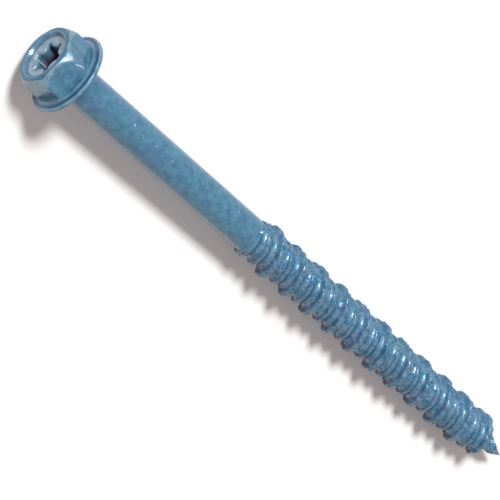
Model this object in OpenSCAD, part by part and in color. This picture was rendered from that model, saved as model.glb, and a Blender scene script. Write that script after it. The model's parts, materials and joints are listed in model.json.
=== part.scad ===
// Concrete screw: hexagon flange head with a star recess, smooth shank,
// right-hand thread with one tall notched ridge and one low ridge, nail point.
// It lies on its side, resting on the flange edge and on the tall ridge.
// Lengths are in millimetres and angles in degrees.

/* [Head] */
// Hexagon size across the flats
hex_af = 7.94; // [7.6:0.02:8.6]
// Head height from the bearing face to the top rim
head_h = 4.5; // [4:0.05:5.5]
// Turn of the hexagon and star about the screw axis
head_turn = 37.3; // [0:0.1:60]
// Outer diameter of the flange
flange_d = 10.95; // [10.2:0.05:13]
// Thickness of the flange at its edge
flange_rim = 0.7; // [0.55:0.05:0.8]
// Thickness of the flange under the hexagon
flange_foot = 0.85; // [0.85:0.05:1.4]
// Bevel along the upper edge of the flange
flange_bevel = 0.4; // [0.1:0.05:0.5]
// Outer diameter of the flat rim around the top
crown_d = 7.7; // [6.9:0.05:7.85]
// Slope of the bevels on the hexagon corners
crown_slope = 62; // [30:1:65]

/* [Recess] */
// Mouth diameter of the dished top
dish_d = 6.5; // [5.8:0.05:6.7]
// Depth of the dished top
dish_depth = 0.6; // [0.3:0.05:0.8]
// Floor diameter of the dished top
dish_floor_d = 4.8; // [4.75:0.05:5.6]
// Star recess from point to point
star_d = 4.43; // [4:0.01:4.7]
// Star recess between opposite flutes
star_waist_d = 3.2; // [2.9:0.02:3.4]
// Radius of the flutes between the star points
star_flute_r = 0.93; // [0.8:0.01:1.05]
// Depth of the star recess below the dish, to the edge of its cone
star_depth = 2.4; // [1:0.05:2.6]
// Diameter of the cone at the bottom of the star recess
star_cone_d = 2.8; // [2:0.05:2.85]
// Slope of that cone
star_cone_slope = 25; // [10:1:40]

/* [Shank] */
// Diameter of the smooth shank
shank_d = 4.82; // [4.7:0.02:5.2]
// Smooth length from the bearing face to the thread
grip = 34.8; // [15:0.1:50]
// Length of the taper from the shank down to the thread root
runout = 0.8; // [0.2:0.05:1]
// Fillet under the head
head_fillet = 0.3; // [0.1:0.05:0.6]

/* [Thread] */
// Length from the bearing face to the point
length = 88.9; // [70:0.1:110]
// Diameter over the tall ridge
tall_d = 6.4; // [5.8:0.05:7]
// Diameter over the low ridge
low_d = 5.4; // [5:0.05:5.7]
// Diameter of the thread root
root_d = 4.4; // [4:0.02:4.6]
// Advance of each ridge in one turn
lead = 4.475; // [4:0.005:5]
// Width of the tall ridge at its foot
tall_foot = 1.55; // [1.2:0.05:2]
// Width of the tall ridge at its crest
tall_crest = 0.65; // [0.3:0.05:0.9]
// Width of the low ridge at its foot
low_foot = 1.05; // [0.8:0.05:1.4]
// Width of the low ridge at its crest
low_crest = 0.4; // [0.2:0.05:0.6]
// Notches cut in the tall ridge per turn
notches = 9; // [7:1:10]
// Depth of the notches
notch_depth = 0.25; // [0.1:0.05:0.45]
// Angle by which the row of notches falls back in each turn
notch_drift = 14; // [0:1:20]
// Angle about the axis at which the ridges begin
thread_phase = 48; // [0:1:360]

/* [Point] */
// Length of the conical point
point_len = 6.1; // [5:0.1:9]
// Bare length of the point past the end of the ridges
bare_tip = 2.8; // [1.5:0.1:4]

/* [Hidden] */

// The screw is drawn along Z, bearing face at zero and point at +Z
hex_r = hex_af / sqrt(3);
root_r = root_d / 2;
flange_r = flange_d / 2;
crown_r = crown_d / 2;
overlap = 0.5;

// Helical rows of the thread: four to each notch, the first at its bottom
notch_half = 0.12;
row_share = [0, notch_half, 0.5, 1 - notch_half];
rows_per_notch = len(row_share);
turn_rows = notches * rows_per_notch;
notch_pitch = (360 - notch_drift) / notches;
// The first row lies inside the shank: the low ridge begins there, the tall one later in the turn
start_lap = 2.19;
thread_start = grip - start_lap;
tall_delay = 107;
start_width = 0.15;
// Turn over which each ridge rises beside the shank, and both die out on the point
tall_rise = 200;
low_rise = 60;
fall_turn = 230;
// The helix closes up on the point, and stops this far short of the tip
tip_gap = 0.1;
point_start = length - point_len;
point_run = point_len - tip_gap;
function tighten(z) = z < point_start ? z : point_start + point_run * (1 - exp((point_start - z) / point_run));
function loosen(z) = point_start - point_run * ln(1 - (z - point_start) / point_run);
thread_end = loosen(length - bare_tip);
thread_turn = 360 * (thread_end - thread_start) / lead;
last_row = floor(thread_turn / notch_pitch) * rows_per_notch - 1;

// Section across one lead, from the foot of the tall ridge: place and share of height
tall_h = (tall_d - root_d) / 2;
low_h = (low_d - root_d) / 2;
section_place = [
    -tall_foot / 2, -tall_crest / 2, tall_crest / 2, tall_foot / 2,
    (lead - low_foot) / 2, (lead - low_crest) / 2, (lead + low_crest) / 2, (lead + low_foot) / 2
];
section_height = [0, tall_h, tall_h, 0, 0, low_h, low_h, 0];
section_points = len(section_place);
tall_points = 4;
tall_crest_points = [1, 2];

function ramp(x) = min(1, max(0, x));
function row_angle(i) = notch_pitch * (floor(i / rows_per_notch) + row_share[i % rows_per_notch]);
function rise(i, p) =
    p < tall_points ? ramp((row_angle(i) - tall_delay) / tall_rise) : ramp(row_angle(i) / low_rise);
function fall(i) = ramp((row_angle(last_row) - row_angle(i)) / fall_turn);
function fade(i, p) = min(rise(i, p), fall(i));
function is_notch(i) = i % rows_per_notch == 0;
function is_tall(p) = len(search(p, tall_crest_points)) > 0;
function root_at(z) = root_r * ramp((length - z) / point_len);

// Vertex p of row i: angle about the axis, place along it and radius
function width(i, p) = p < tall_points ? start_width + (1 - start_width) * rise(i, p) : 1;
function place(i, p) = section_place[p] * width(i, p);
function skew(p) = notch_drift * (section_place[p] - section_place[0]) / lead;
function angle_of(i, p) = row_angle(i) - skew(p);
function z_of(i, p) = tighten(thread_start + lead * angle_of(i, p) / 360 + place(i, p));
function cut_of(i, p) = is_notch(i) && is_tall(p) ? notch_depth : 0;
function height_of(i, p) = fade(i, p) * (section_height[p] - cut_of(i, p));
function radius_of(i, p) = root_at(z_of(i, p)) + height_of(i, p);
function polar(r, a, z) = [r * cos(a), r * sin(a), z];
function vertex(i, p) = polar(radius_of(i, p), thread_phase + angle_of(i, p), z_of(i, p));

// Vertex numbers: full rows, then one more turn of feet, the buried ring, its centre and the tip
full = (last_row + 1) * section_points;
ring = full + turn_rows;
ring_centre = ring + turn_rows;
tip = ring_centre + 1;
function id(i, p) =
    p == section_points ? id(i + turn_rows, 0) :
    i <= last_row ? i * section_points + p : full + i - last_row - 1;
function ring_id(k) = ring + k % turn_rows;

// The buried ring closes the skin inside the shank
ring_z = thread_start - tall_foot / 2 - overlap;
thread_points = concat(
    [for (i = [0 : last_row], p = [0 : section_points - 1]) vertex(i, p)],
    [for (i = [last_row + 1 : last_row + turn_rows]) vertex(i, 0)],
    [for (k = [0 : turn_rows - 1]) polar(root_r, thread_phase + 360 * k / turn_rows, ring_z)],
    [[0, 0, ring_z], [0, 0, length]]
);

last_point = section_points - 1;
flank_faces = [
    for (i = [0 : last_row - 1], p = [0 : last_point]) each [
        [id(i, p), id(i, p + 1), id(i + 1, p + 1)],
        [id(i, p), id(i + 1, p + 1), id(i + 1, p)]
    ]
];
start_faces = concat(
    [for (k = [0 : turn_rows - 1]) [ring_id(k), ring_id(k + 1), ring_centre]],
    [for (k = [0 : turn_rows - 2]) each [
        [ring_id(k), id(k, 0), id(k + 1, 0)],
        [ring_id(k), id(k + 1, 0), ring_id(k + 1)]
    ]],
    [for (p = [0 : last_point]) [id(turn_rows - 1, 0), id(0, p + 1), id(0, p)]],
    [
        [id(turn_rows - 1, 0), id(0, 0), ring_id(0)],
        [id(turn_rows - 1, 0), ring_id(0), ring_id(turn_rows - 1)]
    ]
);
end_faces = concat(
    [for (i = [last_row + 1 : last_row + turn_rows - 1]) [id(i, 0), tip, id(i + 1, 0)]],
    [for (p = [0 : last_point]) [id(last_row, p), id(last_row, p + 1), id(last_row + 1, 0)]],
    [[id(last_row, section_points), tip, id(last_row + 1, 0)]]
);

// Slope at which the screw lies, from the flange edge to the lowest crest
function crest_slope(v) = (flange_r - v[0]) / v[2];
rest_slope = min([for (i = [0 : last_row], p = tall_crest_points) crest_slope(vertex(i, p))]);
rest_tilt = atan(rest_slope);
// Ends of the lying screw along X: the top rim's lower edge and the tip
head_end = -head_h * cos(rest_tilt) - crown_r * sin(rest_tilt);
tip_end = length * cos(rest_tilt);

// The flange's sloping top runs on a little way inside the hexagon
module flange() {
    bevel_z = -flange_rim + flange_bevel;
    inset = 0.2;
    rotate_extrude($fn = 96)
        polygon([
            [0, 0],
            [flange_r, 0],
            [flange_r, bevel_z],
            [flange_r - flange_bevel, -flange_rim],
            [hex_af / 2 - inset, -flange_foot],
            [0, -flange_foot]
        ]);
}

// Hexagon with its corners bevelled around the top rim, running down into the flange
module hexagon() {
    outer_r = hex_r + overlap;
    drop = (outer_r - crown_r) * tan(crown_slope);
    intersection() {
        translate([0, 0, -head_h])
            rotate(head_turn)
                cylinder(r = hex_r, h = head_h - flange_rim / 2, $fn = 6);
        rotate_extrude($fn = 96)
            polygon([
                [0, -head_h],
                [crown_r, -head_h],
                [outer_r, -head_h + drop],
                [outer_r, 0],
                [0, 0]
            ]);
    }
}

module star_outline() {
    rotate(head_turn)
        difference() {
            circle(d = star_d, $fn = 64);
            for (k = [0 : 5])
                rotate(30 + 60 * k)
                    translate([star_waist_d / 2 + star_flute_r, 0])
                        circle(r = star_flute_r, $fn = 48);
        }
}

// Dished top, star recess below it and the cone at its bottom
module recess() {
    floor_z = -head_h + dish_depth;
    cone_h = star_cone_d / 2 * tan(star_cone_slope);
    above = 1;
    dish_grow = above * (dish_d - dish_floor_d) / 2 / dish_depth;
    translate([0, 0, -head_h - above])
        cylinder(r1 = dish_d / 2 + dish_grow, r2 = dish_floor_d / 2, h = dish_depth + above, $fn = 96);
    translate([0, 0, floor_z - above])
        linear_extrude(height = star_depth + above)
            star_outline();
    translate([0, 0, floor_z + star_depth])
        cylinder(d1 = star_cone_d, d2 = 0, h = cone_h, $fn = 48);
}

module head() {
    difference() {
        union() {
            flange();
            hexagon();
        }
        recess();
    }
}

// Smooth shank with the fillet under the head and the taper to the thread root
module shank() {
    shank_r = shank_d / 2;
    fillet_r = shank_r + head_fillet;
    rotate_extrude($fn = 96)
        difference() {
            polygon([
                [0, -overlap],
                [fillet_r, -overlap],
                [fillet_r, head_fillet],
                [shank_r, head_fillet],
                [shank_r, grip - runout],
                [(shank_r + root_r) / 2, grip],
                [0, grip]
            ]);
            translate([fillet_r, head_fillet])
                circle(r = head_fillet, $fn = 48);
        }
}

// Root, both ridges and the point, as one closed helical skin
module thread() {
    polyhedron(
        points = thread_points,
        faces = concat(flank_faces, start_faces, end_faces),
        convexity = 8
    );
}

module concrete_screw() {
    color("steelblue")
        translate([-(head_end + tip_end) / 2, 0, flange_r * cos(rest_tilt)])
            rotate([0, 90 + rest_tilt, 0]) {
                head();
                shank();
                thread();
            }
}

concrete_screw();
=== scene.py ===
# Concrete screw: hexagon flange head with a star recess, smooth shank, rolled high-low thread, blue coating.
# The screw is made along its own Z axis in mm, bearing face at zero, and then laid where the frame has it.
import json
import math
import bpy
from mathutils import Matrix, Vector


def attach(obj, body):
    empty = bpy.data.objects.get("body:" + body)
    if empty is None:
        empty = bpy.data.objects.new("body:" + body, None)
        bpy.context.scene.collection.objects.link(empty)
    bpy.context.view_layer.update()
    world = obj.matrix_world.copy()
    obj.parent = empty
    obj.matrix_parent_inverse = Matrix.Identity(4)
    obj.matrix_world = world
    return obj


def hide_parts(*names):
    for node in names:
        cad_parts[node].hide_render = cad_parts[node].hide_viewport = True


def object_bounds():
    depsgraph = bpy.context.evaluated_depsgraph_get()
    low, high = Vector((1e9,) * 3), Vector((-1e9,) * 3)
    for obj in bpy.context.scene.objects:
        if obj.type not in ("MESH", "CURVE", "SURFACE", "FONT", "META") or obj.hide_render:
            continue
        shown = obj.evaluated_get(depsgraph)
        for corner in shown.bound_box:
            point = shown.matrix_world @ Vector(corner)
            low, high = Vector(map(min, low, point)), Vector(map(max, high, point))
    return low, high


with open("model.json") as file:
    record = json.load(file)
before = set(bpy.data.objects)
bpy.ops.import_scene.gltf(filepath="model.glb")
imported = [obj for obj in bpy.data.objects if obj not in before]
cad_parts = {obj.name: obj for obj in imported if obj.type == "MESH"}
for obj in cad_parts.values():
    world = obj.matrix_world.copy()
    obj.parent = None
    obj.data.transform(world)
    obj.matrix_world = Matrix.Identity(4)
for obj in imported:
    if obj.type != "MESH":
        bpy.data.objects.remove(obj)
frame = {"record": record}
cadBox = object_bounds()
mm = 0.001

mounts = {mount["name"]: mount for mount in frame["record"]["mounts"]}
bearing = mounts["bearing_face"]
axis = Vector(bearing["axis"]).normalized()
midY = (cadBox[0][1] + cadBox[1][1]) / 2
seat = Vector((bearing["pos_m"][0], midY, bearing["pos_m"][2]))  # the axis at the bearing face
down = Vector((axis.z, 0, -axis.x))
nearSide = Vector((0, -1, 0))
tilt = Matrix((down, -nearSide, axis)).transposed().to_4x4()
layDown = Matrix.Translation(seat) @ tilt @ Matrix.Scale(mm, 4)
length = (cadBox[1][0] - seat.x) / axis.x / mm
print("frame: axis", [round(v, 4) for v in axis], "length under the head", round(length, 2), "mm")


def linear(hexColour):
    channels = [int(hexColour[i:i + 2], 16) / 255 for i in (1, 3, 5)]
    return [c / 12.92 if c <= 0.04045 else ((c + 0.055) / 1.055) ** 2.4 for c in channels] + [1]


# A colour Mix node has its share at socket 0, its colours at 6 and 7, and its result at output 2
def addNode(tree, kind, settings, links):
    node = tree.nodes.new(kind)
    for name, value in settings.items():
        setattr(node, name, value)
    for socket, value in links.items():
        if isinstance(value, bpy.types.NodeSocket):
            tree.links.new(value, node.inputs[socket])
        else:
            node.inputs[socket].default_value = value
    return node


# Camera, floor and light

view = {
    "pictureSize": 500,    # pixels
    "focalLength": 3329.3,    # pixels
    "distance": 419.4,    # mm
    "lean": 34.0,    # degrees from the picture plane to the screw axis
    "turn": 41.26,    # degrees by which the axis runs downhill in the picture
    "aimAlong": 36.35,    # mm from the bearing face
    "aimAside": 1.376,    # mm towards the near side
    "sensor": 36.0,    # mm
    "clipStart": 10.0,    # mm
}


def addCamera():
    lean = math.radians(view["lean"])
    turn = math.radians(view["turn"])
    up = -down
    back = up * math.cos(lean) - axis * math.sin(lean)
    along = axis * math.cos(lean) + up * math.sin(lean)
    right = along * math.cos(turn) - nearSide * math.sin(turn)
    top = -along * math.sin(turn) - nearSide * math.cos(turn)
    aim = seat + (axis * view["aimAlong"] + nearSide * view["aimAside"]) * mm
    camera = bpy.data.objects.new("camera", bpy.data.cameras.new("camera"))
    camera.data.sensor_width = view["sensor"]
    camera.data.lens = view["sensor"] * view["focalLength"] / view["pictureSize"]
    camera.data.clip_start = view["clipStart"] * mm
    camera.matrix_world = (Matrix.Translation(aim + back * view["distance"] * mm)
                           @ Matrix((right, top, back)).transposed().to_4x4())
    bpy.context.scene.collection.objects.link(camera)
    bpy.context.scene.camera = camera


studio = {
    "keyTravel": (0.573, -0.585, -1.0),    # the way the key light goes
    "keyWidth": 11.5,    # degrees, sets the soft edge of the shadow
    "keyStrength": 2.9,
    "fillColour": "#ffeae4",
    "fillStrength": (0.12, 0.38),    # at the horizon and overhead
    "surround": "#ffffff",    # what camera and gloss see around the object
    "floorColour": "#ffffff",    # as seen
    "floorBounce": "#bcb8b6",    # as it lights the object
    "floorLift": 0.09,    # added to the floor where camera or gloss sees it, so that it reads as white
    "floorSize": 4.0,    # m
}


# 1 on rays from the camera and on mirrored or refracted ones, 0 on those that carry light
def seenDirectly(tree):
    path = addNode(tree, "ShaderNodeLightPath", {}, {})
    clear = addNode(tree, "ShaderNodeMath", {"operation": "MAXIMUM"},
                    {0: path.outputs["Is Glossy Ray"], 1: path.outputs["Is Transmission Ray"]})
    seen = addNode(tree, "ShaderNodeMath", {"operation": "MAXIMUM"},
                   {0: path.outputs["Is Camera Ray"], 1: clear.outputs[0]})
    return seen.outputs[0]


def addKey():
    key = bpy.data.objects.new("key", bpy.data.lights.new("key", "SUN"))
    key.data.energy = studio["keyStrength"]
    key.data.angle = math.radians(studio["keyWidth"])
    key.rotation_euler = Vector(studio["keyTravel"]).to_track_quat("-Z", "Y").to_euler()
    bpy.context.scene.collection.objects.link(key)


def addSurround():
    world = bpy.data.worlds.new("studio")
    bpy.context.scene.world = world
    world.use_nodes = True
    tree = world.node_tree
    tree.nodes.clear()
    sky = addNode(tree, "ShaderNodeTexCoord", {}, {}).outputs["Generated"]
    rise = addNode(tree, "ShaderNodeSeparateXYZ", {}, {0: sky})
    horizon, overhead = studio["fillStrength"]
    strength = addNode(tree, "ShaderNodeMapRange", {},
                       {"Value": rise.outputs["Z"], "To Min": horizon, "To Max": overhead})
    fill = addNode(tree, "ShaderNodeBackground", {},
                   {"Color": linear(studio["fillColour"]), "Strength": strength.outputs[0]})
    white = addNode(tree, "ShaderNodeBackground", {}, {"Color": linear(studio["surround"]), "Strength": 1.0})
    mix = addNode(tree, "ShaderNodeMixShader", {},
                  {0: seenDirectly(tree), 1: fill.outputs[0], 2: white.outputs[0]})
    addNode(tree, "ShaderNodeOutputWorld", {}, {"Surface": mix.outputs[0]})


# Matt white paper: only diffuse light and the shadow
def addFloor():
    paper = bpy.data.materials.new("whitePaper")
    paper.use_nodes = True
    tree = paper.node_tree
    tree.nodes.clear()
    seen = seenDirectly(tree)
    sheet = addNode(tree, "ShaderNodeMix", {"data_type": "RGBA"},
                    {0: seen, 6: linear(studio["floorBounce"]), 7: linear(studio["floorColour"])})
    matt = addNode(tree, "ShaderNodeBsdfDiffuse", {}, {"Color": sheet.outputs[2]})
    lift = addNode(tree, "ShaderNodeMath", {"operation": "MULTIPLY"}, {0: seen, 1: studio["floorLift"]})
    glow = addNode(tree, "ShaderNodeEmission", {}, {"Strength": lift.outputs[0]})
    both = addNode(tree, "ShaderNodeAddShader", {}, {0: matt.outputs[0], 1: glow.outputs[0]})
    addNode(tree, "ShaderNodeOutputMaterial", {}, {"Surface": both.outputs[0]})
    half = studio["floorSize"] / 2
    mesh = bpy.data.meshes.new("floor")
    corners = [(-half, -half, 0), (half, -half, 0), (half, half, 0), (-half, half, 0)]
    mesh.from_pydata(corners, [], [(0, 1, 2, 3)])
    mesh.materials.append(paper)
    floor = bpy.data.objects.new("floor", mesh)
    bpy.context.scene.collection.objects.link(floor)


bpy.context.scene.view_settings.view_transform = "Standard"
addCamera()
addKey()
addSurround()
addFloor()
print("camera, floor and light set")


# The blank: head, shank and pointed wire as rings of points about the axis, six like sectors to a ring

head = {
    "acrossFlats": 7.94,    # mm, and so are all sizes here; angles are degrees
    "height": 4.5,
    "turn": 37.3,
    "cornerRound": 0.2,
    "crownDiameter": 7.7,
    "crownSlopes": (1.2, 2.3),    # fall per mm outwards, at the crown and at the hexagon's corners
    "crownRound": 0.5,
    "chamferRound": 0.5,
    "edgeRound": 0.4,
    "flangeDiameter": 10.95,
    "flangeThickness": 0.5,
    "flangeBevel": 0.14,
    "bossDiameter": 9.2,    # the round foot of the hexagon
    "bossTop": 0.85,    # above the bearing face
    "bossStep": 0.32,    # run of the step down to the flange
    "bossRound": 0.3,
    "footRound": 0.06,
    "rimRound": 0.12,
    "undersideRound": 0.1,
    "dishDiameter": 6.5,
    "dishDepth": 0.6,    # at the star
    "dishWall": 0.45,
    "dishFloor": 6.0,
    "dishRound": 0.15,
    "dishEdgeRound": 0.12,
    "thinSheenFloor": 0.8,    # share of the dish's floor, from the star outwards, on which the film is thin and painted sheen lightens it
    "starDiameter": 4.43,
    "starWaist": 3.2,
    "starFlute": 0.93,
    "starPointRound": 0.12,
    "starDepth": 2.4,
    "starMouthRound": 0.45,
    "starLip": 0.1,    # plain wall under the rounded mouth
    "starFloorRound": 0.1,
    "recessShadeTop": 0.6,    # share of the recess's depth, above which its painted shade thins out
    "coneDiameter": 2.8,
    "coneSlope": 25.0,
}
shank = {
    "diameter": 4.82,    # mm, and so are all sizes here
    "grip": 35.0,
    "runout": 0.6,
    "headFillet": 0.3,
    "neck": 1.2,    # from the head to the first plain ring
    "rootDiameter": 4.4,
    "pointLength": 6.1,
    "nailDiameter": 1.56,    # of the bare tip, which grows a little to the shoulder behind it
    "nailLength": 3.1,
    "nailSlope": 0.43,    # mm of radius per mm, at the very tip
    "nailGrowth": 0.04,    # the same behind it
    "tipGap": 0.1,    # by which the closing helix stops short of the tip
}
thread = {
    "Lead": 4.475,    # mm, and so are all lengths here
    "Start": 35.0,    # a point of the tall ridge's centre line, at the angle of the phase
    "Phase": 240 / 360,    # turns
    "Tall Begin": -85 / 360,    # turns from that point at which each ridge begins
    "Low Begin": -190 / 360,
    "Tall Height": 1.0,
    "Tall Foot": 1.55,
    "Tall Crest": 0.7,
    "Low Height": 0.5,
    "Low Foot": 1.05,
    "Low Crest": 0.35,
    "Tall Rise": 200 / 360,    # turns over which each ridge rises
    "Low Rise": 60 / 360,
    "Fall": 150 / 360,    # turns over which they die out
    "Low Short": 0.75,    # turns by which the low ridge ends before the tall one
    "Notches": 9 / (1 - 14 / 360),    # to a turn, the row falling back 14 degrees in each
    "Notch Depth": 0.18,
    "Notch Width": 0.3,    # share of the notch spacing, each way
    "Runout Begin": shank["grip"] - shank["runout"],    # where the shank begins to narrow to the root
    "Runout End": shank["grip"],
    "Point Start": length - shank["pointLength"],
    "Point Run": shank["pointLength"] - shank["tipGap"],
    "Bare Tip": 2.8,
    "Lump Size": 0.7,
    "Lump Height": 0.06,
    "Bead Spacing": 0.9,
    "Bead Size": 0.2,
    "Bead Height": 0.08,
    "Burr Along": 34.6,    # where the roll first bit into the shank
    "Burr Angle": math.radians(149),
    "Burr Radius": shank["diameter"] / 2,
    "Burr Size": 0.45,
    "Burr Height": 0.28,
    "Wear Size": 1.7,
    "Wear From": 0.45,    # values of the noise between which the wear grows
    "Wear To": 0.7,
    "Wear": 0.3,    # share of the tall ridge's height lost at the most worn places
    "Root Blend": 0.06,
    "Valley Rise": 0.2,    # by which the floor between the ridges curves up to their feet
    "Valley Curve": 2.2,    # power of that curve
    "Valley Reach": 1.5,    # half widths of the floor up to which it goes on rising under the flanks
    "Shade Far": 1.2,    # from here to the near side, away from the key light, the painted flank shade grows darker
    "Shade Near": -0.8,
    "Shade Least": 0.3,    # share of the painted flank shade kept on the far side
}
rings = {
    "perSector": 26,    # points to a sixth of a ring
    "crowding": 0.45,    # how far they crowd towards the hexagon's corners
    "arcSteps": 4,    # points to a rounded edge
    "arcShare": 0.42,    # the most of a face that a rounding may take
    "support": 0.05,    # share of a face, to the ring beside each rounded edge that keeps the face flat
    "shankStep": 3.0,
    "crestSteps": 2,    # rows from the middle of a crest to its edge
    "flankSteps": 5,    # rows down a flank
    "valleySteps": 3,    # steps across the floor between two ridges
    "plainShank": 2.0,    # mm of shank past which the rows may follow the ridges
    "tipLoops": 6,
}
sectors = 6
halfSector = math.pi / sectors


def hexagonRadius(offFlat):
    flat = head["acrossFlats"] / 2
    inner = flat - head["cornerRound"]
    if flat * math.tan(abs(offFlat)) <= inner * math.tan(halfSector):
        return flat / math.cos(offFlat)
    offCorner = halfSector - abs(offFlat)
    centre = inner / math.cos(halfSector)
    aside = centre * math.sin(offCorner)
    return centre * math.cos(offCorner) + math.sqrt(head["cornerRound"] ** 2 - aside ** 2)


def starRadius(offFlute):
    outer = head["starDiameter"] / 2
    flute = head["starFlute"]
    centre = head["starWaist"] / 2 + flute
    reach = flute ** 2 - (centre * math.sin(offFlute)) ** 2
    wall = centre * math.cos(offFlute) - math.sqrt(reach) if reach > 0 else 2 * outer
    soft = head["starPointRound"]
    blend = max(soft - abs(wall - outer), 0) / soft
    return min(wall, outer) - blend ** 2 * soft / 4


def crownFall(radius):
    first, last = head["crownSlopes"]
    crown = head["crownDiameter"] / 2
    span = head["acrossFlats"] / math.sqrt(3) - crown
    out = radius - crown
    return first * out + (last - first) * out * out / (2 * span)


# Corners of the outline from the recess out over the head and down to the shank. Each has its radius, height
# and rounding (None for a bare point), and then, from 0 to 1, its thin film with painted sheen, its painted
# crease shade and its painted recess shade.
def headOutline(offFlat):
    top = -head["height"]
    dishZ = top + head["dishDepth"]
    starZ = dishZ + head["starDepth"]
    cone = head["coneDiameter"] / 2
    star = starRadius(offFlat)
    hexagon = hexagonRadius(offFlat)
    crown = head["crownDiameter"] / 2
    mid = (crown + hexagon) / 2
    boss = head["bossDiameter"] / 2
    bossZ = -head["bossTop"]
    step = boss + head["bossStep"]
    rim = head["flangeDiameter"] / 2
    rimZ = -head["flangeThickness"]
    wire = shank["diameter"] / 2
    floor = head["dishFloor"] / 2
    dishFoot = top + head["dishWall"]
    thinSheenEnd = star + (floor - star) * head["thinSheenFloor"]
    thinSheenEndZ = dishZ + (dishFoot - dishZ) * head["thinSheenFloor"]
    return [
        (0, starZ + cone * math.tan(math.radians(head["coneSlope"])), 0, 0, 0, 1),
        (cone, starZ, head["starFloorRound"], 0, 0, 1),
        (star, starZ, head["starFloorRound"], 0, 0, 1),
        (star, dishZ + head["starDepth"] * head["recessShadeTop"], None, 0, 0, 0.7),
        (star, dishZ + head["starMouthRound"] + head["starLip"], None, 0, 0, 0.1),
        (star, dishZ, head["starMouthRound"], 0.45, 0, 0),
        (thinSheenEnd, thinSheenEndZ, None, 0.45, 0, 0),
        (floor, dishFoot, head["dishRound"], 0.1, 0.6, 0),
        (head["dishDiameter"] / 2, top, head["dishEdgeRound"], 0.1, 0, 0),
        (crown, top, head["crownRound"], 0, 0.5, 0),
        (mid, top + crownFall(mid), head["chamferRound"], 0.35, 0, 0),
        (hexagon, top + crownFall(hexagon), head["edgeRound"], 0.3, 0, 0),
        (hexagon, top + crownFall(hexagon) + head["edgeRound"], None, 0, 0, 0),
        (hexagon, bossZ - 2 * head["footRound"], None, 0, 0, 0),
        (hexagon, bossZ, head["footRound"], 0.1, 0.2, 0),
        (boss, bossZ, head["bossRound"], 0.1, 0.2, 0),
        (step, rimZ, head["footRound"], 0, 1, 0),
        ((step + rim) / 2, rimZ, None, 0, 0.6, 0),
        (rim - head["flangeBevel"], rimZ, head["rimRound"], 0.2, 0, 0),
        (rim, rimZ + head["flangeBevel"], head["rimRound"], 0.2, 0, 0),
        (rim, 0, head["undersideRound"], 0, 0, 0),
        (wire, 0, shank["headFillet"], 0, 1, 0),
        (wire, shank["neck"], 0, 0, 0, 0),
    ]


def roundCorners(corners):
    points = [Vector(corners[0][:2])]
    for before, corner, after in zip(corners, corners[1:], corners[2:]):
        here = Vector(corner[:2])
        if corner[2] is None:
            points.append(here)
            continue
        back = Vector(before[:2]) - here
        ahead = Vector(after[:2]) - here
        turn = math.pi - back.angle(ahead)
        tangent = corner[2] * math.tan(turn / 2)
        starts = min(tangent / back.length, rings["arcShare"])
        ends = min(tangent / ahead.length, rings["arcShare"])
        first, last = here + back * starts, here + ahead * ends
        points.append(here + back * (starts + rings["support"]))
        for step in range(rings["arcSteps"] + 1):
            share = step / rings["arcSteps"]
            points.append(first * (1 - share) ** 2 + here * 2 * share * (1 - share) + last * share ** 2)
        points.append(here + ahead * (ends + rings["support"]))
    return points


# The film marks of each point that roundCorners makes
def filmMarks(corners):
    marks = [corners[0][3:]]
    for corner in corners[1:-1]:
        marks += [corner[3:]] * (1 if corner[2] is None else rings["arcSteps"] + 3)
    return marks


def sectorOffsets():
    offsets = []
    for step in range(rings["perSector"]):
        share = 2 * step / rings["perSector"] - 1
        crowded = math.sin(share * math.pi / 2)
        offsets.append(halfSector * (share + rings["crowding"] * (crowded - share)))
    return offsets


def softStep(value, none, full):
    share = min(max((value - none) / (full - none), 0), 1)
    return share * share * (3 - 2 * share)


def wireRadius(z):
    wire = shank["diameter"] / 2
    root = shank["rootDiameter"] / 2
    body = wire + (root - wire) * softStep(z, shank["grip"] - shank["runout"], shank["grip"])
    left = max(length - z, 0)
    nail = min(left * shank["nailSlope"], shank["nailDiameter"] / 2 + left * shank["nailGrowth"])
    return nail + (body - nail) * softStep(left, shank["nailLength"], shank["pointLength"])


# On the point the helix closes up: place along the screw of a place along the unrolled thread, and back
def tighten(unrolled):
    past = max(unrolled - thread["Point Start"], 0) / thread["Point Run"]
    return min(unrolled, thread["Point Start"]) + thread["Point Run"] * (1 - math.exp(-past))


def loosen(z):
    left = 1 - (z - thread["Point Start"]) / thread["Point Run"]
    return thread["Point Start"] - thread["Point Run"] * math.log(left)


def evenly(first, last, count):
    return [first + (last - first) * (i + 1) / count for i in range(count)]


# Places of the rows across one lead, from the middle of the tall crest to the next
def leadRows():
    lead = thread["Lead"]
    tallEdge, tallFoot = thread["Tall Crest"] / 2, thread["Tall Foot"] / 2
    lowEdge, lowFoot = thread["Low Crest"] / 2, thread["Low Foot"] / 2
    crest, flank, valley = rings["crestSteps"], rings["flankSteps"], rings["valleySteps"]
    stops = [(tallEdge, crest), (tallFoot, flank), (lead / 2 - lowFoot, valley), (lead / 2 - lowEdge, flank),
             (lead / 2, crest), (lead / 2 + lowEdge, crest), (lead / 2 + lowFoot, flank),
             (lead - tallFoot, valley), (lead - tallEdge, flank), (lead, crest)]
    rows = [0]
    for place, count in stops:
        rows += evenly(rows[-1], place, count)
    return rows[:-1]


# Corners of the threaded part, in rows along the ridges. After the last of a row comes the first of the
# row one lead further on.
def threadGrid(angles):
    lead = thread["Lead"]
    line = thread["Start"] + lead * (angles[0] / math.tau - thread["Phase"])
    plainEnd = shank["grip"] - shank["runout"] - rings["plainShank"] + lead
    first = line - lead * math.ceil((line + lead - plainEnd) / lead + 1)
    leads = math.ceil((loosen(length - thread["Bare Tip"]) - first) / lead)
    places = [first + lead * n + row for n in range(leads) for row in leadRows()] + [first + lead * leads]
    grid = []
    for place in places:
        for angle in angles:
            z = tighten(place + lead * (angle - angles[0]) / math.tau)
            grid.append((wireRadius(z) * math.cos(angle), wireRadius(z) * math.sin(angle), z))
    return first, grid


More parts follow.
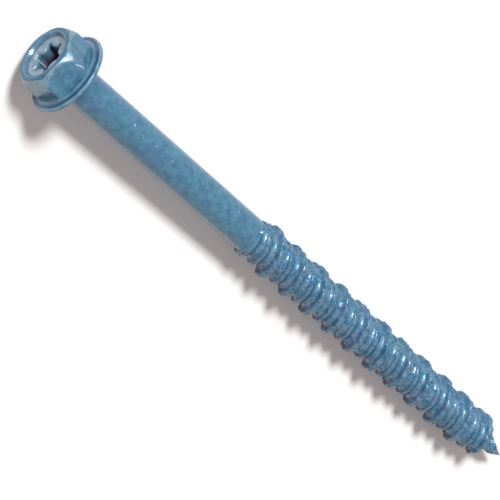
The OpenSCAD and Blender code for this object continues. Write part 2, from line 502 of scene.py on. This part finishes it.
# Faces of the rings of the head and the plain shank, closed by a fan at the bottom of the recess
def ringFaces(ringCount, count):
    faces = [(0, 1 + (k + 1) % count, 1 + k) for k in range(count)]
    for row in range(ringCount - 1):
        ring = 1 + row * count
        for k in range(count):
            ahead = (k + 1) % count
            faces.append((ring + k, ring + ahead, ring + count + ahead, ring + count + k))
    return faces


# Faces of the threaded part, whose corners begin at base, and the loop of corners in which its rows end
def threadFaces(base, rowCount, count):
    lap = len(leadRows())

    def corner(row, k):
        return base + (row + k // count * lap) * count + k % count

    # from the last plain ring to the first row, with a fan over the step of one lead
    ring = base - count
    faces = [(ring + k, ring + k + 1, corner(0, k + 1), corner(0, k)) for k in range(count - 1)]
    step = [ring] + [corner(row, 0) for row in range(lap + 1)] + [corner(0, count - 1)]
    faces += [(ring + count - 1, a, b) for a, b in zip(step, step[1:])]
    for row in range(rowCount - 1):
        across = count if row + lap + 1 < rowCount else count - 1
        for k in range(across):
            faces.append((corner(row, k), corner(row, k + 1), corner(row + 1, k + 1), corner(row + 1, k)))
    loop = [corner(rowCount - 1, k) for k in range(count)]
    loop += [corner(rowCount - 1 - row, count - 1) for row in range(1, lap + 1)]
    return faces, loop


# From that loop to the tip, in shrinking loops
def closeTip(verts, faces, loop):
    tip = Vector((0, 0, length))
    edge = [Vector(verts[i]) for i in loop]
    for share in evenly(0, 1, rings["tipLoops"])[:-1]:
        inner = list(range(len(verts), len(verts) + len(loop)))
        verts += [tuple(point.lerp(tip, share)) for point in edge]
        faces += [(loop[i - 1], loop[i], inner[i], inner[i - 1]) for i in range(len(loop))]
        loop = inner
    verts.append(tuple(tip))
    faces += [(loop[i - 1], loop[i], len(verts) - 1) for i in range(len(loop))]


# The head's marks of thin film, painted sheen and painted shade, ring by ring, and none from there to the tip
def storeMarks(mesh, count):
    marks = filmMarks(headOutline(0))
    for i, name in enumerate(("thinAndSheen", "creaseShade", "recessShade")):
        values = [float(marks[0][i])]
        for mark in marks[1:]:
            values += [float(mark[i])] * count
        values += [0.0] * (len(mesh.vertices) - len(values))
        mesh.attributes.new(name, "FLOAT", "POINT").data.foreach_set("value", values)


def makeBlank():
    offsets = sectorOffsets()
    outlines = [roundCorners(headOutline(off)) for off in offsets]
    middles = [math.radians(head["turn"] + 360 / sectors * (sector + 0.5)) for sector in range(sectors)]
    angles = [middle + off for middle in middles for off in offsets]
    count = len(angles)
    gridStart, grid = threadGrid(angles)
    levels = range(1, len(outlines[0]))
    rows = [[tuple(outline[level]) for outline in outlines] * sectors for level in levels]
    neck = outlines[0][-1].y
    plainRings = round((gridStart - neck) / rings["shankStep"])
    rows += [[(wireRadius(z), z)] * count for z in evenly(neck, gridStart, plainRings)[:-1]]

    verts = [(0, 0, outlines[0][0].y)]
    for row in rows:
        verts += [(r * math.cos(a), r * math.sin(a), z) for (r, z), a in zip(row, angles)]
    rolled, loop = threadFaces(len(verts), len(grid) // count, count)
    faces = ringFaces(len(rows), count) + rolled
    verts += grid
    closeTip(verts, faces, loop)
    mesh = bpy.data.meshes.new("blank")
    mesh.from_pydata(verts, [], faces)
    storeMarks(mesh, count)
    mesh.update()
    return mesh


blank = makeBlank()
print("blank:", len(blank.vertices), "points,", len(blank.polygons), "faces")


# Blue polymer coating, dip-spun on steel and baked: a glossy film that thins on the edges. Painted shade
# darkens the thread's flanks, the head's creases and the recess. The eye sees a cool mid blue, clouded
# towards teal and violet, with white reflections, painted sheen and glints, dull pale dust in the thread and
# a few pale nicks.

coating = {
    "deep": "#336a8a",
    "pale": "#5893b2",
    "cloudRange": (0.33, 0.67),    # values of the noise from deep to pale; so are all ranges here
    "teal": "#3d8297",
    "violet": "#4b73a0",
    "hueRange": (0.35, 0.65),
    "hueShare": 0.35,
    "paintedShade": "#23547a",    # painted shade on the thread's flanks and in the head's creases
    "zincAndSheen": "#c6d8e0",    # where the film is thin, and painted sheen on some faces
    "wearSheenRange": (0.15, 0.6),
    "dust": "#a298aa",    # in the thread
    "dustRange": (0.4, 0.65),
    "dustShare": 0.22,
    "recessShade": "#66505f",    # painted shade in the recess
    "nickAndGlint": "#bcd2de",
    # size in mm, detail and roughness of each noise; the grit is coarser than real dust, so that it shows
    "noises": {"mottle": (0.9, 3.0, 0.6), "hue": (2.2, 2.0, 0.5),
               "grit": (0.28, 2.0, 0.5), "peel": (0.5, 2.0, 0.5)},
    "peelDepth": 0.012,    # mm
    "gritDepth": 0.035,    # mm
    "speckle": 1.6,    # by which the grit shows in the film's clouds
    "levelGloss": 0.8,    # share of the gloss that is left on level grit
    "dulling": 6.0,    # by which the low spots of the grit lose theirs
    "roughness": (0.3, 0.38),
    "roughRange": (0.3, 0.7),
    "gloss": 1.5,    # IOR of the clear film
    "glossRoughness": 0.19,
    "metal": 0.22,    # share of the light that the zinc under the clear blue film sends back
    # pale nicks and marks; the one on the burr is partly a painted highlight, the streak down the star's
    # groove a painted glint
    # along the screw in mm, degrees from the top to the near side, mm from the axis, width and length in mm
    "nicksAndGlints": [(10.2, -20, 2.41, 0.3, 0), (11.9, -11, 2.41, 0.17, 0), (12.2, -8, 2.41, 0.15, 0),
              (14.45, -14, 2.41, 0.19, 0), (16.15, -23, 2.41, 0.14, 0), (17.55, -13, 2.41, 0.2, 0),
              (30.0, -31, 2.41, 0.18, 0), (34.5, -31, 2.6, 0.35, 0),
              (-2.55, -20.4, 4.49, 0.2, 0.2), (-2.22, -21.8, 4.55, 0.2, 0.2),
              (-1.9, -23.2, 4.55, 0.2, 0.2), (-1.57, -24.6, 4.49, 0.2, 0.2), (-3.0, 150, 2.2, 0.42, 1.9)],
    "markEdge": (0.65, 0.15),    # shares of its width, from the middle, between which a nick or painted glint begins to show
}


# 1 on the nicks and painted glints and 0 beside them
def markNicksAndGlints(tree, place):
    outer, inner = coating["markEdge"]
    marked = None
    for along, angle, radius, width, run in coating["nicksAndGlints"]:
        off = math.radians(angle)
        out = -down * math.cos(off) + nearSide * math.sin(off)
        spot = seat + (axis * along + out * radius) * mm
        fromSpot = addNode(tree, "ShaderNodeVectorMath", {"operation": "SUBTRACT"}, {0: place, 1: spot})
        onAxis = addNode(tree, "ShaderNodeVectorMath", {"operation": "DOT_PRODUCT"},
                         {0: fromSpot.outputs[0], 1: axis})
        within = addNode(tree, "ShaderNodeClamp", {},
                         {0: onAxis.outputs["Value"], "Min": -run / 2 * mm, "Max": run / 2 * mm})
        nearest = addNode(tree, "ShaderNodeVectorMath", {"operation": "SCALE"},
                          {0: axis, "Scale": within.outputs[0]})
        away = addNode(tree, "ShaderNodeVectorMath", {"operation": "DISTANCE"},
                       {0: fromSpot.outputs[0], 1: nearest.outputs[0]})
        mark = addNode(tree, "ShaderNodeMapRange", {"interpolation_type": "SMOOTHSTEP"},
                       {"Value": away.outputs["Value"],
                        "From Min": outer * width * mm, "From Max": inner * width * mm})
        if marked:
            mark = addNode(tree, "ShaderNodeMath", {"operation": "MAXIMUM"}, {0: marked, 1: mark.outputs[0]})
        marked = mark.outputs[0]
    return marked


# The film's clouds and hues, with painted shade, thin film with painted sheen, dust, painted recess shade,
# and nicks and painted glints over them
def coatingColour(tree, place, noise, mark, grit):
    specked = addNode(tree, "ShaderNodeMath", {"operation": "MULTIPLY_ADD"},
                      {0: grit, 1: coating["speckle"], 2: noise["mottle"]})
    share = {}
    for name, pattern in (("cloud", specked.outputs[0]), ("hue", noise["hue"]), ("wearSheen", noise["mottle"]),
                          ("dust", noise["mottle"])):
        first, last = coating[name + "Range"]
        share[name] = addNode(tree, "ShaderNodeMapRange", {},
                              {"Value": pattern, "From Min": first, "From Max": last}).outputs[0]
    wearAndSheen = addNode(tree, "ShaderNodeMath", {"operation": "MULTIPLY"}, {0: mark["thinAndSheen"], 1: share["wearSheen"]})
    dusting = addNode(tree, "ShaderNodeMath", {"operation": "MULTIPLY"}, {0: share["dust"], 1: mark["grit"]})
    dusted = addNode(tree, "ShaderNodeMath", {"operation": "MULTIPLY"},
                     {0: dusting.outputs[0], 1: coating["dustShare"]})
    film = addNode(tree, "ShaderNodeMix", {"data_type": "RGBA"},
                   {0: share["cloud"], 6: linear(coating["deep"]), 7: linear(coating["pale"])})
    tint = addNode(tree, "ShaderNodeMix", {"data_type": "RGBA"},
                   {0: share["hue"], 6: linear(coating["teal"]), 7: linear(coating["violet"])})
    colour = addNode(tree, "ShaderNodeMix", {"data_type": "RGBA"},
                     {0: coating["hueShare"], 6: film.outputs[2], 7: tint.outputs[2]})
    # painted shade, thin film with painted sheen, dust, painted recess shade, then nicks and painted glints
    for name, cover in (("paintedShade", mark["paintedShade"]), ("zincAndSheen", wearAndSheen.outputs[0]), ("dust", dusted.outputs[0]),
                        ("recessShade", mark["recessShade"]), ("nickAndGlint", markNicksAndGlints(tree, place))):
        colour = addNode(tree, "ShaderNodeMix", {"data_type": "RGBA"},
                         {0: cover, 6: colour.outputs[2], 7: linear(coating[name])})
    return colour.outputs[2]


def makeCoating():
    material = bpy.data.materials.new("bakedBlueCoating")
    material.use_nodes = True
    tree = material.node_tree
    tree.nodes.clear()
    place = addNode(tree, "ShaderNodeTexCoord", {}, {}).outputs["Object"]
    noise = {}
    for name, (size, detail, roughness) in coating["noises"].items():
        noise[name] = addNode(tree, "ShaderNodeTexNoise", {},
                              {"Vector": place, "Scale": 1 / (size * mm), "Detail": detail,
                               "Roughness": roughness}).outputs[0]
    mark = {}    # what the mesh says of the film, its painted shade and its painted sheen
    for name in ("paintedShade", "thinAndSheen", "recessShade", "grit"):
        mark[name] = addNode(tree, "ShaderNodeAttribute", {"attribute_name": name}, {}).outputs["Fac"]

    # grit: height about zero, in the thread and the dish only
    signed = addNode(tree, "ShaderNodeMath", {"operation": "SUBTRACT"}, {0: noise["grit"], 1: 0.5})
    grit = addNode(tree, "ShaderNodeMath", {"operation": "MULTIPLY"},
                   {0: signed.outputs[0], 1: mark["grit"]}).outputs[0]

    # the baked film's slight orange peel, the grit on it, and its gloss, which the grit dulls
    first, last = coating["roughRange"]
    low, high = coating["roughness"]
    rough = addNode(tree, "ShaderNodeMapRange", {},
                    {"Value": noise["mottle"], "From Min": first, "From Max": last,
                     "To Min": low, "To Max": high})
    ripple = addNode(tree, "ShaderNodeBump", {},
                     {"Height": noise["peel"], "Distance": coating["peelDepth"] * mm, "Strength": 1.0})
    bump = addNode(tree, "ShaderNodeBump", {},
                   {"Height": grit, "Distance": coating["gritDepth"] * mm, "Strength": 1.0,
                    "Normal": ripple.outputs[0]})
    dulled = addNode(tree, "ShaderNodeMath", {"operation": "MULTIPLY_ADD", "use_clamp": True},
                     {0: grit, 1: coating["dulling"], 2: coating["levelGloss"]})
    glossy = addNode(tree, "ShaderNodeMix", {"data_type": "FLOAT"},
                     {0: mark["grit"], 2: 1.0, 3: dulled.outputs[0]})
    shader = addNode(tree, "ShaderNodeBsdfPrincipled", {},
                     {"Base Color": coatingColour(tree, place, noise, mark, grit),
                      "Roughness": rough.outputs[0], "Normal": bump.outputs[0],
                      "Metallic": coating["metal"], "Specular IOR Level": 0.0,
                      "Coat Weight": glossy.outputs[0], "Coat IOR": coating["gloss"],
                      "Coat Roughness": coating["glossRoughness"], "Coat Normal": bump.outputs[0]})
    addNode(tree, "ShaderNodeOutputMaterial", {}, {"Surface": shader.outputs[0]})
    return material


blueCoating = makeCoating()
print("coating made")


# Rolled thread: one tall notched ridge and one low ridge, raised on the blank by a Geometry Nodes tree

# Each line of the rule: result, operation, operands. Names are tree inputs or earlier results.
threadRule = [
    ("turnHere", "DIVIDE", "angle", math.tau),
    ("pastPoint", "SUBTRACT", "along", "Point Start"),
    ("onPoint", "MAXIMUM", "pastPoint", 0.0),
    ("pointShare", "DIVIDE", "onPoint", "Point Run"),
    ("shareLeft", "SUBTRACT", 1.0, "pointShare"),
    ("shareKept", "MAXIMUM", "shareLeft", 0.01),    # so that the logarithm stays finite at the tip
    ("logLeft", "LOGARITHM", "shareKept", math.e),
    ("closing", "MULTIPLY", "logLeft", "Point Run"),
    ("beforePoint", "MINIMUM", "along", "Point Start"),
    ("unrolled", "SUBTRACT", "beforePoint", "closing"),    # place along a helix that doesn't close up
    ("pastStart", "SUBTRACT", "unrolled", "Start"),
    ("leadsIn", "DIVIDE", "pastStart", "Lead"),
    ("phased", "SUBTRACT", "turnHere", "Phase"),
    ("ridgeCount", "SUBTRACT", "leadsIn", "phased"),
    ("tallNumber", "ROUND", "ridgeCount", 0.0),
    ("tallTurn", "ADD", "phased", "tallNumber"),    # turns along the tall ridge from its start
    ("tallOff", "PINGPONG", "ridgeCount", 0.5),
    ("tallSide", "MULTIPLY", "tallOff", "Lead"),    # mm from the ridge's centre line
    ("lowCount", "SUBTRACT", "ridgeCount", 0.5),
    ("lowNumber", "ROUND", "lowCount", 0.0),
    ("lowTurn", "ADD", "phased", "lowNumber"),
    ("tallSince", "SUBTRACT", "tallTurn", "Tall Begin"),
    ("lowSince", "SUBTRACT", "lowTurn", "Low Begin"),
    ("lowOff", "PINGPONG", "lowCount", 0.5),
    ("lowSide", "MULTIPLY", "lowOff", "Lead"),
    ("tallFoot", "MULTIPLY", "Tall Foot", 0.5),
    ("tallCrest", "MULTIPLY", "Tall Crest", 0.5),
    ("lowFoot", "MULTIPLY", "Low Foot", 0.5),
    ("lowCrest", "MULTIPLY", "Low Crest", 0.5),
    ("tallReach", "DIVIDE", "tallFoot", "Lead"),
    ("lowReach", "DIVIDE", "lowFoot", "Lead"),
    ("tipLeft", "DIVIDE", "Bare Tip", "Point Run"),
    ("tipLog", "LOGARITHM", "tipLeft", math.e),
    ("tipClosing", "MULTIPLY", "tipLog", "Point Run"),
    ("endUnrolled", "SUBTRACT", "Point Start", "tipClosing"),
    ("endPast", "SUBTRACT", "endUnrolled", "Start"),
    ("endTurn", "DIVIDE", "endPast", "Lead"),
    ("tallLeft", "SUBTRACT", "endTurn", "tallTurn"),
    ("lowEnd", "SUBTRACT", "endTurn", "Low Short"),
    ("lowLeft", "SUBTRACT", "lowEnd", "lowTurn"),
    ("notchCount", "MULTIPLY", "tallTurn", "Notches"),
    ("notchOff", "PINGPONG", "notchCount", 0.5),
    ("burrCos", "COSINE", "Burr Angle"),
    ("burrSin", "SINE", "Burr Angle"),
    ("burrX", "MULTIPLY", "burrCos", "Burr Radius"),
    ("burrY", "MULTIPLY", "burrSin", "Burr Radius"),
]
# Soft steps between two values: result, value, where it is 1, where it is 0
threadSteps = [
    ("tallShape", "tallSide", "tallCrest", "tallFoot"),
    ("lowShape", "lowSide", "lowCrest", "lowFoot"),
    ("tallRise", "tallSince", "Tall Rise", 0.0),
    ("lowRise", "lowSince", "Low Rise", 0.0),
    ("tallFall", "tallLeft", "Fall", 0.0),
    ("lowFall", "lowLeft", "Fall", 0.0),
    ("notchShape", "notchOff", 0.0, "Notch Width"),
    ("threaded", "along", "Runout End", "Runout Begin"),
]
# Height of the thread over the blank, the painted shade on its flanks and in the head's creases, and where
# grit is held
heightRule = [
    ("tallFade", "MULTIPLY", "tallRise", "tallFall"),
    ("lowFade", "MULTIPLY", "lowRise", "lowFall"),
    ("notchCut", "MULTIPLY", "notchShape", "Notch Depth"),
    ("crestHeight", "SUBTRACT", "Tall Height", "notchCut"),
    ("wornAway", "MULTIPLY", "wear", "Wear"),
    ("wornLeft", "SUBTRACT", 1.0, "wornAway"),
    ("crestLeft", "MULTIPLY", "crestHeight", "wornLeft"),
    ("tallFull", "MULTIPLY", "crestLeft", "tallShape"),
    ("tall", "MULTIPLY", "tallFull", "tallFade"),
    ("lowFull", "MULTIPLY", "Low Height", "lowShape"),
    ("low", "MULTIPLY", "lowFull", "lowFade"),
    ("ridges", "MAXIMUM", "tall", "low"),
    ("lowStart", "SUBTRACT", 0.5, "lowReach"),
    ("valleyEnds", "ADD", "lowStart", "tallReach"),
    ("valleyMid", "MULTIPLY", "valleyEnds", 0.5),
    ("valleySpan", "SUBTRACT", "lowStart", "tallReach"),
    ("valleyHalf", "MULTIPLY", "valleySpan", 0.5),
    ("offMid", "SUBTRACT", "tallOff", "valleyMid"),
    ("offShare", "DIVIDE", "offMid", "valleyHalf"),
    ("offSize", "ABSOLUTE", "offShare"),
    ("offKept", "MINIMUM", "offSize", "Valley Reach"),
    ("hollow", "POWER", "offKept", "Valley Curve"),
    ("floorFade", "MULTIPLY", "lowFade", "threaded"),
    ("hollowFade", "MULTIPLY", "hollow", "floorFade"),
    ("floor", "MULTIPLY", "hollowFade", "Valley Rise"),
    ("swollen", "SMOOTH_MAX", "ridges", "floor", "Root Blend"),
    ("swelling", "MULTIPLY", "Root Blend", 0.25),    # what the soft maximum adds where both are zero
    ("ridge", "SUBTRACT", "swollen", "swelling"),
    ("lumpSigned", "SUBTRACT", "lump", 0.5),
    ("lumpFade", "MULTIPLY", "lumpSigned", "threaded"),
    ("lumpRaise", "MULTIPLY", "lumpFade", "Lump Height"),
    ("beadFade", "MULTIPLY", "bead", "threaded"),
    ("beadRaise", "MULTIPLY", "beadFade", "Bead Height"),
    ("burrRaise", "MULTIPLY", "burr", "Burr Height"),
    ("lumpy", "ADD", "lumpRaise", "beadRaise"),
    ("burred", "ADD", "ridge", "burrRaise"),
    ("raise", "ADD", "burred", "lumpy"),
    ("tallLess", "SUBTRACT", 1.0, "tallShape"),
    ("tallFlank", "MULTIPLY", "tallShape", "tallLess"),    # most half way up the flank
    # painted shade half way up each flank, more of it on the near side, away from the key light
    ("tallFlankShade", "MULTIPLY", "tallFlank", "tallFade"),
    ("lowLess", "SUBTRACT", 1.0, "lowShape"),
    ("lowFlank", "MULTIPLY", "lowShape", "lowLess"),
    ("lowFlankShade", "MULTIPLY", "lowFlank", "lowFade"),
    ("flankShade", "MAXIMUM", "tallFlankShade", "lowFlankShade"),
    ("sidedFlankShade", "MULTIPLY", "flankShade", "shadeSide"),
    ("flankShadeFull", "MULTIPLY", "sidedFlankShade", 4.0),    # 1 at its most
    ("paintedShade", "MAXIMUM", "flankShadeFull", "creaseShade"),
    ("grit", "MAXIMUM", "threaded", "thinAndSheen"),
]


def follow(rule, tree, value):
    for result, operation, *operands in rule:
        links = {i: value[o] if isinstance(o, str) else o for i, o in enumerate(operands)}
        value[result] = addNode(tree, "ShaderNodeMath", {"operation": operation}, links).outputs[0]


def followSteps(steps, tree, value):
    for result, source, full, none in steps:
        links = {"Value": value[source], "From Min": value.get(none, none), "From Max": value.get(full, full)}
        step = addNode(tree, "ShaderNodeMapRange", {"interpolation_type": "SMOOTHSTEP"}, links)
        value[result] = step.outputs[0]


# Lumps, wear, beads and the burr, from 0 to 1, the share of painted flank shade kept on each side, and the
# head's marks
def addPatterns(tree, value, place, side):
    for result, size in (("lump", "Lump Size"), ("worn", "Wear Size")):
        scale = addNode(tree, "ShaderNodeMath", {"operation": "DIVIDE"}, {0: 1.0, 1: value[size]})
        value[result] = addNode(tree, "ShaderNodeTexNoise", {},
                                {"Vector": place, "Scale": scale.outputs[0], "Detail": 2.0}).outputs[0]
    value["wear"] = addNode(tree, "ShaderNodeMapRange", {},
                            {"Value": value["worn"], "From Min": value["Wear From"],
                             "From Max": value["Wear To"]}).outputs[0]
    value["shadeSide"] = addNode(tree, "ShaderNodeMapRange", {},
                             {"Value": side, "From Min": value["Shade Far"],
                              "From Max": value["Shade Near"], "To Min": value["Shade Least"]}).outputs[0]
    beadScale = addNode(tree, "ShaderNodeMath", {"operation": "DIVIDE"}, {0: 1.0, 1: value["Bead Spacing"]})
    cells = addNode(tree, "ShaderNodeTexVoronoi", {}, {"Vector": place, "Scale": beadScale.outputs[0]})
    fromBead = addNode(tree, "ShaderNodeMath", {"operation": "MULTIPLY"},
                       {0: cells.outputs["Distance"], 1: value["Bead Spacing"]})
    burrPlace = addNode(tree, "ShaderNodeCombineXYZ", {},
                        {"X": value["burrX"], "Y": value["burrY"], "Z": value["Burr Along"]})
    fromBurr = addNode(tree, "ShaderNodeVectorMath", {"operation": "DISTANCE"},
                       {0: place, 1: burrPlace.outputs[0]})
    for result, away, size in (("bead", fromBead.outputs[0], "Bead Size"),
                               ("burr", fromBurr.outputs["Value"], "Burr Size")):
        value[result] = addNode(tree, "ShaderNodeMapRange", {"interpolation_type": "SMOOTHSTEP"},
                                {"Value": away, "From Min": value[size], "From Max": 0.0}).outputs[0]
    for name in ("thinAndSheen", "creaseShade"):
        value[name] = addNode(tree, "GeometryNodeInputNamedAttribute", {"data_type": "FLOAT"},
                              {"Name": name}).outputs[0]


def makeThreadTree(material):
    tree = bpy.data.node_groups.new("rolledThread", "GeometryNodeTree")
    tree.interface.new_socket("Blank", in_out="INPUT", socket_type="NodeSocketGeometry")
    sockets = {}
    for name, size in thread.items():
        socket = tree.interface.new_socket(name, in_out="INPUT", socket_type="NodeSocketFloat")
        socket.default_value = size
        sockets[name] = socket.identifier
    tree.interface.new_socket("Screw", in_out="OUTPUT", socket_type="NodeSocketGeometry")
    given = addNode(tree, "NodeGroupInput", {}, {})
    value = {name: given.outputs[name] for name in thread}

    place = addNode(tree, "GeometryNodeInputPosition", {}, {}).outputs[0]
    split = addNode(tree, "ShaderNodeSeparateXYZ", {}, {0: place})
    value["along"] = split.outputs["Z"]
    value["angle"] = addNode(tree, "ShaderNodeMath", {"operation": "ARCTAN2"},
                             {0: split.outputs["Y"], 1: split.outputs["X"]}).outputs[0]

    follow(threadRule, tree, value)
    followSteps(threadSteps, tree, value)
    addPatterns(tree, value, place, split.outputs["Y"])
    follow(heightRule, tree, value)

    flatPlace = addNode(tree, "ShaderNodeVectorMath", {"operation": "MULTIPLY"}, {0: place, 1: (1, 1, 0)})
    outward = addNode(tree, "ShaderNodeVectorMath", {"operation": "NORMALIZE"}, {0: flatPlace.outputs[0]})
    offset = addNode(tree, "ShaderNodeVectorMath", {"operation": "SCALE"},
                     {0: outward.outputs[0], "Scale": value["raise"]})
    marked = given.outputs["Blank"]
    for name in ("paintedShade", "grit"):
        marked = addNode(tree, "GeometryNodeStoreNamedAttribute", {"data_type": "FLOAT", "domain": "POINT"},
                         {"Geometry": marked, "Name": name, "Value": value[name]}).outputs[0]
    rolled = addNode(tree, "GeometryNodeSetPosition", {}, {"Geometry": marked, "Offset": offset.outputs[0]})
    whole = addNode(tree, "GeometryNodeRealizeInstances", {}, {0: rolled.outputs[0]})
    coated = addNode(tree, "GeometryNodeSetMaterial", {},
                     {"Geometry": whole.outputs[0], "Material": material})
    addNode(tree, "NodeGroupOutput", {}, {0: coated.outputs[0]})
    return tree, sockets


def rollThread(mesh, material):
    tree, sockets = makeThreadTree(material)
    raw = bpy.data.objects.new("rawScrew", mesh)
    bpy.context.scene.collection.objects.link(raw)
    roll = raw.modifiers.new("roll", "NODES")
    roll.node_group = tree
    for name, identifier in sockets.items():
        roll[identifier] = thread[name]
    depsgraph = bpy.context.evaluated_depsgraph_get()
    skin = bpy.data.meshes.new_from_object(raw.evaluated_get(depsgraph))
    raw.modifiers.remove(roll)
    bpy.data.objects.remove(raw)
    skin.transform(layDown)
    skin.shade_smooth()
    screw = bpy.data.objects.new("screw", skin)
    bpy.context.scene.collection.objects.link(screw)
    return screw


screw = rollThread(blank, blueCoating)
print("thread rolled:", sum(len(p.vertices) - 2 for p in screw.data.polygons), "triangles")

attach(screw, "root")
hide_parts("concrete_screw")
